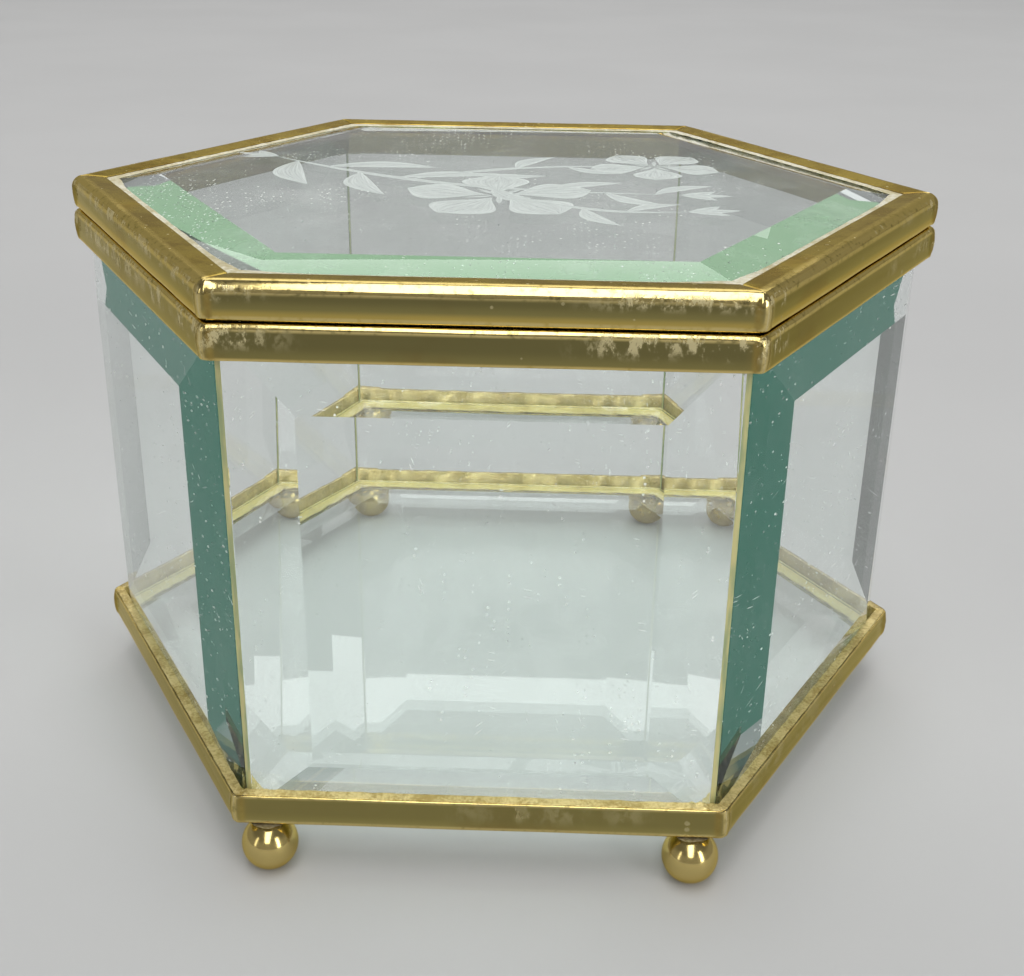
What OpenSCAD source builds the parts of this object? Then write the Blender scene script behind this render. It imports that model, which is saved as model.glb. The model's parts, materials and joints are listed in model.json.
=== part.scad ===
// Six-sided keepsake box: bevelled glass plates in folded brass strip, hinged lid, ball feet.
// Origin on the table at the middle of the box, +Z up, front face towards -Y, hinge at +Y.

/* [Body] */
// Distance across the flats of the collar
body_flats = 139; // [110:0.5:170]
// Height from the underside of the base frame to the top of the collar
body_h = 86.4; // [60:0.1:120]
// How far each side of the base frame stands out past the collar
base_step = 0.7; // [0.5:0.05:1.5]

/* [Brass strip] */
// Thickness of the brass strip
strip_t = 0.5; // [0.4:0.05:0.6]
// Height of the face of every brass frame
frame_h = 5.6; // [5:0.1:7]
// Radius of the folded upright corners
fold_r = 1.6; // [1.2:0.05:2.5]
// Width of the saw line left at each folded mitre
mitre_slit = 0.12; // [0.08:0.01:0.2]
// Width of the flange under the floor plate
floor_flange_w = 8; // [6:0.1:10]
// Depth of the inner leg of the collar
collar_leg_h = 4.6; // [3:0.1:5]
// Rounding along the top edge of the collar
collar_edge_r = 0.9; // [0.6:0.05:1.2]
// Rounding along the lower edge of the base frame
base_edge_r = 0.6; // [0.55:0.05:1]

/* [Walls] */
// Thickness of the wall glass
wall_t = 3.8; // [3:0.1:4.5]
// Thickness left at the bevelled edge of a wall
wall_edge_t = 2.5; // [2:0.1:2.8]
// Width of the bevel round a wall panel
wall_bevel_w = 11; // [8:0.1:14]
// Head room between a wall's top edge and the web of the collar
wall_head_gap = 2.1; // [1:0.1:2.5]
// Thickness of the bedding cement under walls and floor
bedding_t = 0.8; // [0.4:0.1:1]
// Clearance between the glass and a brass leg
glass_gap = 0.15; // [0.05:0.01:0.3]
// Depth of the cement seam in a corner groove
seam_depth = 1.1; // [0.6:0.1:1.8]

/* [Floor] */
// Thickness of the floor plate
floor_t = 3.8; // [3:0.1:4.5]
// Thickness left at the bevelled edge of the floor plate
floor_edge_t = 2.5; // [2:0.1:2.8]
// Width of the bevel round the floor plate
floor_bevel_w = 11; // [8:0.1:14]
// Clearance between the floor plate and the walls
floor_gap = 0.3; // [0.1:0.05:0.5]

/* [Lid] */
// Gap between the closed lid and the collar
lid_gap = 0.3; // [0.2:0.05:0.6]
// How far each side of the lid frame stands back from the collar
lid_step = 0.2; // [0.1:0.05:0.6]
// Width of the lip over the lid plate
lid_lip_w = 5.5; // [4.5:0.1:7]
// Width of the flange under the lid plate
lid_flange_w = 4; // [3:0.1:5]
// Rounding along the top edge of the lid frame
lid_edge_r = 1.8; // [0.8:0.05:1.9]
// Rounding along the lower edge of the lid frame
lid_low_r = 0.55; // [0.3:0.05:0.8]
// Thickness of the lid plate
lid_glass_t = 4.4; // [3.8:0.1:4.8]
// Thickness left at the bevelled edge of the lid plate
lid_edge_t = 2.5; // [2:0.1:2.8]
// Width of the bevel round the lid plate
lid_bevel_w = 13.8; // [11:0.1:16]
// Clearance between the edge of the lid plate and its frame
lid_plate_gap = 0.3; // [0.1:0.05:0.5]
// Width of the cement line along the lip
lid_bead_w = 0.9; // [0.5:0.05:1.2]

/* [Feet] */
// Diameter of a ball foot
foot_d = 9.5; // [8:0.1:11]
// Height cut off the top of a ball for soldering
foot_flat = 0.3; // [0.2:0.05:0.5]
// Height worn off the bottom of a ball
foot_wear = 0.08; // [0.04:0.01:0.15]
// Thickness of the solder over a ball
solder_t = 0.3; // [0.2:0.05:0.5]
// Distance of a ball's centre from the front or back of the base frame
foot_inset = 2; // [1.8:0.1:3.5]
// Distance of a ball's centre from the corner of the base frame, along the side
foot_along = 5.2; // [4:0.1:12]

/* [Hinge] */
// Length of one knuckle
knuckle_len = 6.2; // [4:0.1:9]
// Outside diameter of the knuckles
knuckle_d = 3.6; // [3.2:0.1:4.2]
// Diameter of the hinge pin
pin_d = 1.6; // [1.2:0.1:2]
// Radial running clearance of the pin
pin_clear = 0.05; // [0.02:0.01:0.1]
// Gap between neighbouring knuckles
knuckle_gap = 0.2; // [0.1:0.05:0.4]
// Thickness of the hinge leaves
leaf_t = 0.8; // [0.6:0.1:1]
// Gap between the knuckles and the brass beside them
barrel_gap = 0.3; // [0.2:0.05:0.5]
// Distance that the stop toes reach past the knuckles
toe_reach = 1.7; // [1.2:0.1:2.4]
// Thickness of a stop toe
toe_t = 1.6; // [1.2:0.1:2]
// Angle at which the toes stop the lid
open_angle = 100; // [95:1:110]

/* [Hidden] */
$fn = 96;
sides = 6;
step = 360 / sides;
half = step / 2;
reach = 2 * body_flats;
past = 1;
crossing = 0.004;
toe_clear = 0.05;
leaf_margin = 0.6;
bead_h = 0.9;
bead_crown = 0.15;
seat_clear = 0.05;
head_t = 0.6;

// Apothems, outermost faces
collar_a = body_flats / 2;
base_a = collar_a + base_step;
lid_a = collar_a - lid_step;

// Levels
base_z = foot_d - foot_flat + solder_t - foot_wear;
collar_top = base_z + body_h;
collar_z = collar_top - frame_h;
lid_z = collar_top + lid_gap;
lid_top = lid_z + frame_h;
wall_z = base_z + strip_t + bedding_t;
wall_top = collar_top - strip_t - wall_head_gap;
wall_h = wall_top - wall_z;

// Walls: the slope of the bevel sets how much glass the collar's face must clear
wall_drop = wall_t - wall_edge_t;
function wall_at(depth) = wall_edge_t + wall_drop * depth / wall_bevel_w;
wall_a = collar_a - strip_t - glass_gap - wall_at(wall_top - collar_z);
wall_w = 2 * wall_a * tan(half);

// Lid plate: its bevel seats under the inner edge of the lip
lid_plate_a = lid_a - strip_t - lid_plate_gap;
lid_drop = lid_glass_t - lid_edge_t;
function lid_rise(apothem) = lid_drop * (lid_plate_a - apothem) / lid_bevel_w;
lid_lip_a = lid_a - lid_lip_w;
lid_edge_top = lid_top - strip_t - seat_clear - lid_rise(lid_lip_a);
lid_plate_z = lid_edge_top - lid_edge_t;

// Floor plate
floor_a = wall_a - floor_gap;

// Feet
foot_y = base_a - foot_inset;
foot_x = base_a * tan(half) - foot_along;
foot_cap_r = sqrt(pow(foot_d / 2, 2) - pow(foot_d / 2 - foot_flat, 2));

// Hinge
hinge_y = collar_a + barrel_gap + knuckle_d / 2;
hinge_z = collar_top + lid_gap / 2;
knuckles = 5;
pitch = knuckle_len + knuckle_gap;
hinge_w = knuckles * pitch - knuckle_gap;
bore_d = pin_d + 2 * pin_clear;

// ---------- folded strip ----------

// A six-sided block with folded upright corners, and its top or lower edges rounded
module folded_block(apothem, h, corner_r, top_r = 0, low_r = 0) {
    difference() {
        linear_extrude(h) hexagon(apothem);
        for (i = [0 : sides - 1]) {
            rotate([0, 0, i * step]) {
                corner_cut(apothem, h, corner_r);
                if (top_r > 0) {
                    translate([0, -apothem, h]) edge_cut(top_r);
                }
                if (low_r > 0) {
                    translate([0, -apothem, 0]) mirror([0, 0, 1]) edge_cut(low_r);
                }
            }
        }
    }
}

// Takes the sharp upright corner off a block at +X, leaving a round that just crosses the flats
module corner_cut(apothem, h, r) {
    centre = (apothem - r + crossing) / cos(half);
    difference() {
        translate([centre + r * cos(half), -r, -past]) cube([r, 2 * r, h + 2 * past]);
        translate([centre, 0, -2 * past]) cylinder(r = r, h = h + 4 * past);
    }
}

// Takes the sharp edge off a block that ends at y = 0 and z = 0, leaving a round along X
module edge_cut(r) {
    difference() {
        translate([-reach / 2, -r, crossing - r]) cube([reach, 2 * r - crossing, 2 * r]);
        translate([-reach, r - crossing, crossing - r]) rotate([0, 90, 0]) cylinder(r = r, h = 2 * reach);
    }
}

// A ring of plain section between two apothems
module hex_ring(outer_a, inner_a, h) {
    linear_extrude(h)
        difference() {
            hexagon(outer_a);
            hexagon(inner_a);
        }
}

module hex_prism(apothem, z, h) {
    translate([0, 0, z]) linear_extrude(h) hexagon(apothem);
}

module hexagon(apothem) {
    circle(r = apothem / cos(half), $fn = sides);
}

// Saw lines along the mitres, open inwards, stopping at the folded web
module mitre_slits(apothem, z, h) {
    web_r = (apothem - fold_r) / cos(half) + fold_r - strip_t - mitre_slit;
    for (i = [0 : sides - 1]) {
        rotate([0, 0, i * step])
            translate([0, -mitre_slit / 2, z])
                cube([web_r, mitre_slit, h]);
    }
}

// ---------- plates ----------

// Cuts a bevel that falls away from a line at y = -inner_a on a plate of thickness t
module bevel_cut(inner_a, t, drop, w) {
    translate([0, -inner_a, t])
        rotate([atan(drop / w), 0, 0])
            translate([-reach, -reach, 0])
                cube([2 * reach, reach, reach]);
}

module hex_plate(apothem, t, edge_t, bevel_w) {
    difference() {
        linear_extrude(t) hexagon(apothem);
        for (i = [0 : sides - 1]) {
            rotate([0, 0, i * step])
                bevel_cut(apothem - bevel_w, t, t - edge_t, bevel_w);
        }
    }
}

// A wall panel lying on its inner face, with its foot towards -Y
module wall_plate() {
    difference() {
        translate([-wall_w / 2, -wall_h / 2, 0]) cube([wall_w, wall_h, wall_t]);
        for (turn = [0, 180]) {
            rotate([0, 0, turn])
                bevel_cut(wall_h / 2 - wall_bevel_w, wall_t, wall_drop, wall_bevel_w);
        }
        for (turn = [90, 270]) {
            rotate([0, 0, turn])
                bevel_cut(wall_w / 2 - wall_bevel_w, wall_t, wall_drop, wall_bevel_w);
        }
    }
}

module wall_glass(i) {
    color("lightcyan", 0.35)
        rotate([0, 0, i * step])
            translate([0, -wall_a, wall_z + wall_h / 2])
                rotate([90, 0, 0])
                    wall_plate();
}

// Clear cement in the bottom of the groove between two walls
module corner_seam(i) {
    color("honeydew", 0.5)
        rotate([0, 0, i * step + half - 90])
            translate([wall_a / cos(half), 0, wall_z])
                linear_extrude(wall_h)
                    polygon([
                        [0, 0],
                        [seam_depth * cos(half), -seam_depth * sin(half)],
                        [seam_depth * cos(half), seam_depth * sin(half)]
                    ]);
}

module floor_glass() {
    color("lightcyan", 0.35)
        translate([0, 0, wall_z])
            hex_plate(floor_a, floor_t, floor_edge_t, floor_bevel_w);
}

module lid_glass() {
    color("lightcyan", 0.35)
        translate([0, 0, lid_plate_z])
            hex_plate(lid_plate_a, lid_glass_t, lid_edge_t, lid_bevel_w);
}

// ---------- brass frames ----------

// An angle, open upwards and inwards
module base_frame() {
    color("goldenrod")
        difference() {
            translate([0, 0, base_z])
                difference() {
                    folded_block(base_a, frame_h, fold_r, low_r = base_edge_r);
                    translate([0, 0, strip_t])
                        folded_block(base_a - strip_t, frame_h, fold_r - strip_t, 0, base_edge_r - strip_t);
                    hex_prism(base_a - floor_flange_w, -past, frame_h);
                }
            mitre_slits(base_a, base_z - past, strip_t + 2 * past);
        }
}

// A channel, open downwards over the walls, with a shorter inner leg
module collar_frame() {
    inner_leg_a = wall_a - glass_gap;
    leg_z = frame_h - collar_leg_h;
    hollow_a = collar_a - strip_t;
    color("goldenrod")
        difference() {
            translate([0, 0, collar_z])
                difference() {
                    folded_block(collar_a, frame_h, fold_r, top_r = collar_edge_r);
                    difference() {
                        translate([0, 0, -strip_t])
                            folded_block(hollow_a, frame_h, fold_r - strip_t, collar_edge_r - strip_t);
                        hex_prism(inner_leg_a, leg_z, frame_h);
                    }
                    hex_prism(inner_leg_a - strip_t, -past, frame_h + 2 * past);
                }
            mitre_slits(collar_a, collar_z - past, frame_h + 2 * past);
        }
}

// A channel, open inwards round the lid plate, with a wider lip on top
module lid_frame() {
    hollow_h = frame_h - 2 * strip_t;
    color("goldenrod")
        difference() {
            translate([0, 0, lid_z])
                difference() {
                    folded_block(lid_a, frame_h, fold_r, lid_edge_r, lid_low_r);
                    translate([0, 0, strip_t])
                        folded_block(lid_a - strip_t, hollow_h, fold_r - strip_t, lid_edge_r - strip_t);
                    hex_prism(lid_lip_a, frame_h / 2, frame_h);
                    hex_prism(lid_a - lid_flange_w, -past, frame_h / 2 + past);
                }
            mitre_slits(lid_a, lid_z - past, frame_h + 2 * past);
        }
}

// ---------- cement ----------

module base_bedding() {
    color("whitesmoke", 0.6)
        translate([0, 0, base_z + strip_t])
            hex_ring(base_a - fold_r, base_a - floor_flange_w, bedding_t);
}

// The line of cement that shows between the base frame and the leaning lower bevels of the walls
module base_bead() {
    low = base_z + frame_h + bead_crown - bead_h;
    color("khaki")
        difference() {
            translate([0, 0, low]) folded_block(base_a - strip_t, bead_h, fold_r - strip_t);
            difference() {
                hex_prism(wall_a + wall_t, low - past, bead_h + 2 * past);
                for (i = [0 : sides - 1]) {
                    rotate([0, 0, i * step]) outside_lower_bevel();
                }
            }
        }
}

// All the room on the outer side of the lower bevel of wall 0
module outside_lower_bevel() {
    translate([0, -wall_a - wall_edge_t, wall_z])
        rotate([atan(wall_drop / wall_bevel_w), 0, 0])
            translate([-reach, -reach, -reach])
                cube([2 * reach, reach, 2 * reach]);
}

module collar_bedding() {
    color("whitesmoke", 0.6)
        translate([0, 0, wall_top])
            hex_ring(collar_a - fold_r, wall_a - glass_gap, wall_head_gap);
}

module lid_bedding() {
    low = lid_z + strip_t;
    color("whitesmoke", 0.6)
        translate([0, 0, low])
            hex_ring(lid_a - fold_r, lid_a - lid_flange_w, lid_plate_z - low);
}

// The line of cement that shows along the lip of the lid
module lid_bead() {
    color("whitesmoke")
        difference() {
            translate([0, 0, lid_plate_z])
                hex_ring(lid_lip_a, lid_lip_a - lid_bead_w, lid_top - bead_crown - lid_plate_z);
            lid_glass();
        }
}

// ---------- feet ----------

module ball_foot(x_side, y_side) {
    color("gold")
        translate([x_side * foot_x, y_side * foot_y, foot_d / 2 - foot_wear])
            intersection() {
                sphere(d = foot_d);
                translate([-foot_d, -foot_d, foot_wear - foot_d / 2])
                    cube([2 * foot_d, 2 * foot_d, foot_d - foot_wear - foot_flat]);
            }
}

module foot_solder(x_side, y_side) {
    color("silver")
        translate([x_side * foot_x, y_side * foot_y, base_z - solder_t])
            cylinder(r1 = foot_cap_r, r2 = foot_cap_r + solder_t, h = solder_t);
}

// ---------- hinge ----------

// A cylinder along X, centred on the hinge axis
module along_pin(d, len) {
    rotate([0, 90, 0]) cylinder(d = d, h = len, center = true);
}

function knuckle_x(i) = (i - (knuckles - 1) / 2) * pitch;

module knuckle_row(first) {
    for (i = [first : 2 : knuckles - 1]) {
        translate([knuckle_x(i), 0, 0]) along_pin(knuckle_d, knuckle_len);
    }
}

// Clears the other leaf's knuckles as they turn
module knuckle_relief(first) {
    turning_d = knuckle_d + 2 * barrel_gap;
    depth = turning_d + 2 * lid_step + leaf_t;
    for (i = [first : 2 : knuckles - 1]) {
        translate([knuckle_x(i), 0, 0])
            cube([knuckle_len + 2 * knuckle_gap, depth, turning_d], center = true);
    }
}

// Fills the corner between a flat leaf and its own knuckles; side is 1 above the pin and -1 below
module knuckle_neck(first, face_a, side) {
    neck_h = 0.4 * knuckle_d;
    for (i = [first : 2 : knuckles - 1]) {
        translate([knuckle_x(i) - knuckle_len / 2, face_a - hinge_y, side > 0 ? 0 : -neck_h])
            cube([knuckle_len, hinge_y - face_a - knuckle_d / 4, neck_h]);
    }
}

// A flat leaf on a back face at distance face_a, between two levels
module leaf_plate(face_a, low, high) {
    translate([-hinge_w / 2, face_a - hinge_y, low - hinge_z])
        cube([hinge_w, leaf_t, high - low]);
}

module hinge_body_leaf() {
    color("darkgoldenrod")
        translate([0, hinge_y, hinge_z])
            difference() {
                union() {
                    difference() {
                        leaf_plate(collar_a, collar_z + leaf_margin, hinge_z);
                        knuckle_relief(1);
                    }
                    knuckle_row(0);
                    knuckle_neck(0, collar_a, -1);
                }
                along_pin(bore_d, hinge_w + 2);
            }
}

// A toe of the lid's knuckles, drawn where it meets the body leaf, then swung back shut
module stop_toe() {
    face = collar_a + leaf_t - hinge_y + toe_clear;
    rotate([open_angle, 0, 0])
        translate([-knuckle_len / 2, face, -knuckle_d / 2 - toe_reach])
            cube([knuckle_len, toe_t, knuckle_d / 2 + toe_reach]);
}

module hinge_lid_leaf() {
    color("darkgoldenrod")
        translate([0, hinge_y, hinge_z])
            difference() {
                union() {
                    difference() {
                        leaf_plate(lid_a, hinge_z, lid_top - lid_edge_r - barrel_gap);
                        knuckle_relief(0);
                    }
                    knuckle_row(1);
                    knuckle_neck(1, lid_a, 1);
                    for (i = [1 : 2 : knuckles - 1]) {
                        translate([knuckle_x(i), 0, 0]) stop_toe();
                    }
                }
                along_pin(bore_d, hinge_w + 2);
            }
}

module hinge_pin() {
    color("gold")
        translate([0, hinge_y, hinge_z]) {
            along_pin(pin_d, hinge_w + 2 * pin_clear);
            for (turn = [0, 180]) {
                rotate([0, 0, turn])
                    translate([hinge_w / 2 + pin_clear, 0, 0])
                        rotate([0, 90, 0])
                            cylinder(d1 = pin_d + head_t * 2, d2 = pin_d, h = head_t);
            }
        }
}

// ---------- nodes ----------

base_frame();
base_bedding();
base_bead();
floor_glass();
wall_glass(0);  // wall_glass_front
wall_glass(1);  // wall_glass_front_right
wall_glass(2);  // wall_glass_back_right
wall_glass(3);  // wall_glass_back
wall_glass(4);  // wall_glass_back_left
wall_glass(5);  // wall_glass_front_left
corner_seam(0);  // corner_seam_1
corner_seam(1);  // corner_seam_2
corner_seam(2);  // corner_seam_3
corner_seam(3);  // corner_seam_4
corner_seam(4);  // corner_seam_5
corner_seam(5);  // corner_seam_6
collar_frame();
collar_bedding();
ball_foot(-1, -1);  // ball_foot_front_left
ball_foot(1, -1);  // ball_foot_front_right
ball_foot(-1, 1);  // ball_foot_back_left
ball_foot(1, 1);  // ball_foot_back_right
foot_solder(-1, -1);  // foot_solder_front_left
foot_solder(1, -1);  // foot_solder_front_right
foot_solder(-1, 1);  // foot_solder_back_left
foot_solder(1, 1);  // foot_solder_back_right
hinge_body_leaf();
hinge_pin();
lid_frame();
lid_glass();
lid_bedding();
lid_bead();
hinge_lid_leaf();
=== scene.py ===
"""Looks of a six-sided keepsake casket: bevelled plate glass in folded brass strip, on ball feet.

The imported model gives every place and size. Each strip, cement line, ball and leaf of the engraving is
a surface worked out here with numpy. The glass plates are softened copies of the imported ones, and the
bevels of the walls are ground thinner.
"""

from __future__ import annotations

import json
import logging
import math
from dataclasses import dataclass, field
from enum import Enum
from typing import Any, ClassVar, Optional, Sequence, Union

import bmesh
import bpy
import numpy as np
from mathutils import Matrix, Vector

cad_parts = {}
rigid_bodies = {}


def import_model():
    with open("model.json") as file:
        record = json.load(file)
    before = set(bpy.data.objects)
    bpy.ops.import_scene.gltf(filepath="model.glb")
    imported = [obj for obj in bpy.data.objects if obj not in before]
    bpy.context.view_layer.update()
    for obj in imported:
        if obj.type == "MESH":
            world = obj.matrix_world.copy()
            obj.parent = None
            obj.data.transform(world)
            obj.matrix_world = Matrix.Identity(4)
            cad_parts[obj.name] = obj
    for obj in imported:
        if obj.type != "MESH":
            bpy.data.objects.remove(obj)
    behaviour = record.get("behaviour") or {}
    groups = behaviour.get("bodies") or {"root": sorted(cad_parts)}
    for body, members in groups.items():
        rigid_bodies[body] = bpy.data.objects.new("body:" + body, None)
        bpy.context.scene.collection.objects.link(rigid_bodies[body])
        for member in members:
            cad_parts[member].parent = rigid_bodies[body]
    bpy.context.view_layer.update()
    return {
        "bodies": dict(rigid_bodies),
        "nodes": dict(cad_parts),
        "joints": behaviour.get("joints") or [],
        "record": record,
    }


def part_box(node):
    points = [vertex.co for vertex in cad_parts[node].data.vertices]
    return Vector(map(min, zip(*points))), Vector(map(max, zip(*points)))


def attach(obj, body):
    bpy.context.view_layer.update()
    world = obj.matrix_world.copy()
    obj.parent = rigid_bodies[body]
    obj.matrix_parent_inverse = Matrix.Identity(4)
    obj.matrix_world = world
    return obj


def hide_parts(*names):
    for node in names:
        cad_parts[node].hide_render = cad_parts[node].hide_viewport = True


LOG = logging.getLogger("casket")
MM = 0.001
SIDES = 6
STEP = 2 * math.pi / SIDES
HALF = STEP / 2
WHITE = (1.0, 1.0, 1.0)
WELD, CAD_WELD, FLAT_DEG = 0.0005 * MM, 0.002 * MM, 0.8
LEAST_ARC, LONGEST_STEP = 0.004 * MM, 0.5 * MM

Material, Piece, Pin = bpy.types.Material, bpy.types.Object, bpy.types.NodeSocket
Points = np.ndarray
Triple = tuple[float, float, float]
Value = Union["Socket", float]


class Body(Enum):
    """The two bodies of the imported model."""

    CASE = "case"
    LID = "lid"


class Slot(Enum):
    """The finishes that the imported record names."""

    STRIP = "brass_strip"
    BALL = "brass_ball"
    HINGE = "brass_hinge"
    GLASS = "plate_glass"
    CEMENT = "cement"
    SOLDER = "solder"


# ---------------------------------------------------------------- shader kit


class Socket:
    """A shader output that can stand in a Python expression; each operator adds one Math node."""

    def __init__(self, graph: Graph, output: Pin) -> None:
        """Wraps one output of one graph."""
        self.graph, self.output = graph, output

    def _math(self, operation: str, *others: Value) -> Socket:
        """Adds a Math node with this socket first."""
        return self.graph.maths(operation, self, *others)

    def __add__(self, other: Value) -> Socket:
        """Sum."""
        return self._math("ADD", other)

    __radd__ = __add__

    def __mul__(self, other: Value) -> Socket:
        """Product."""
        return self._math("MULTIPLY", other)

    __rmul__ = __mul__

    def __sub__(self, other: Value) -> Socket:
        """Difference."""
        return self._math("SUBTRACT", other)

    def __rsub__(self, other: Value) -> Socket:
        """Difference from a number."""
        return self.graph.maths("SUBTRACT", other, self)

    def __pow__(self, other: Value) -> Socket:
        """Power."""
        return self._math("POWER", other)

    def __abs__(self) -> Socket:
        """Size without sign."""
        return self._math("ABSOLUTE")

    def above(self, low: float, high: float) -> Socket:
        """Rises smoothly from 0 at low to 1 at high."""
        ends = {"Value": self, "From Min": low, "From Max": high, "To Min": 0.0, "To Max": 1.0}
        return Socket(self.graph, self.graph.out("MapRange", ends, interpolation_type="SMOOTHSTEP"))

    def capped(self) -> Socket:
        """Held between 0 and 1."""
        return self._math("MINIMUM", 1.0)._math("MAXIMUM", 0.0)


class Graph:
    """The node tree of one material, or of the world."""

    def __init__(self, name: str, world: bool = False) -> None:
        """Makes an empty material or world.

        Args:
            name: Its name.
            world: True for a world.
        """
        self.owner = (bpy.data.worlds if world else bpy.data.materials).new(name)
        self.owner.use_nodes = True
        self.tree = self.owner.node_tree
        self.tree.nodes.clear()
        self.end = self.add("OutputWorld" if world else "OutputMaterial")

    def add(self, kind: str, sockets: Optional[dict[Any, Any]] = None, **settings: Any) -> bpy.types.Node:
        """Adds any node.

        Args:
            kind: Its type, without the usual prefix.
            sockets: Input name or number to a value, a Socket or an output.
            **settings: Its own properties, set first.

        Returns:
            The node.
        """
        node = self.tree.nodes.new("ShaderNode" + kind)
        for key, value in settings.items():
            setattr(node, key, value)
        for key, value in (sockets or {}).items():
            pin, value = node.inputs[key], value.output if isinstance(value, Socket) else value
            if isinstance(value, Pin):
                self.tree.links.new(value, pin)
            else:
                pin.default_value = (*value, 1.0) if pin.type == "RGBA" else value
        return node

    def out(self, kind: str, sockets: dict[Any, Any], **settings: Any) -> Pin:
        """Adds any node and gives its first output."""
        return self.add(kind, sockets, **settings).outputs[0]

    def maths(self, operation: str, *values: Value) -> Socket:
        """Adds a Math node."""
        return Socket(self, self.out("Math", dict(enumerate(values)), operation=operation))

    def place(self, scale: Triple = (1, 1, 1), uv: bool = False) -> Pin:
        """Object coordinates, or the piece's own UV map, scaled."""
        coords = self.add("TexCoord").outputs["UV" if uv else "Object"]
        return self.out("Mapping", {"Vector": coords, "Scale": scale})

    def upright(self, lean_deg: float, slender: float) -> Pin:
        """Object coordinates that put a wall's face in the plane of the first two axes.

        Args:
            lean_deg: How far the pattern leans from the upright.
            slender: How many times longer than wide the pattern is drawn.

        Returns:
            The vector output.
        """
        lean = {"Vector": self.add("TexCoord").outputs["Object"], "Angle": math.radians(lean_deg)}
        turned = self.out("VectorRotate", lean, rotation_type="Y_AXIS")
        down = {"Vector": turned, "Scale": (1.0, 1.0, 1.0 / slender), "Rotation": (math.pi / 2, 0.0, 0.0)}
        return self.out("Mapping", down)

    def split(self, kind: str, pin: Pin) -> list[Socket]:
        """The three parts of a vector or a colour."""
        key = "Vector" if kind == "XYZ" else "Color"
        return [Socket(self, part) for part in self.add("Separate" + kind, {key: pin}).outputs]

    def noise(self, vector: Pin, scale: float, detail: float = 3.0, rough: float = 0.6) -> Socket:
        """Fractal noise from 0 to 1, mostly near 0.5."""
        sockets = {"Vector": vector, "Scale": scale, "Detail": detail, "Roughness": rough}
        return Socket(self, self.out("TexNoise", sockets))

    def specks(self, vector: Pin, scale: float, share: float, size: float, flat: bool = False) -> Socket:
        """Round specks in a few of the cells of a cell pattern.

        Args:
            vector: Where the pattern is read.
            scale: Cells per metre.
            share: Share of the cells that hold a speck.
            size: Radius of the largest speck, as a share of a cell.
            flat: True if the cells run through along the third axis.

        Returns:
            1 inside a speck, 0 outside.
        """
        sockets = {"Vector": vector, "Scale": scale}
        cell = self.add("TexVoronoi", sockets, voronoi_dimensions="2D" if flat else "3D").outputs
        pick = self.split("Color", cell["Color"])
        chosen = pick[0].above(1 - share, 1.01 - share)
        return (pick[1] * size + 0.02 - Socket(self, cell["Distance"])).above(0.0, 0.03) * chosen

    def blend(self, factor: Value, first: Any, second: Any) -> Pin:
        """Mixes two colours."""
        return self.add("Mix", {0: factor, 6: first, 7: second}, data_type="RGBA").outputs[2]

    def bump(self, height: Socket, depth: float, strength: float = 1.0) -> Pin:
        """A normal tilted by a height, whose range of 1 is depth metres."""
        return self.out("Bump", {"Height": height, "Distance": depth, "Strength": strength})

    def finish(self, surface: Pin, volume: Optional[Pin] = None) -> Any:
        """Joins the shaders to the output.

        Args:
            surface: The surface shader.
            volume: The volume shader, if there is one.

        Returns:
            The material or world.
        """
        for key, pin in (("Surface", surface), ("Volume", volume)):
            if pin is not None:
                self.tree.links.new(pin, self.end.inputs[key])
        return self.owner


# ------------------------------------------------------------------ finishes


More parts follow.
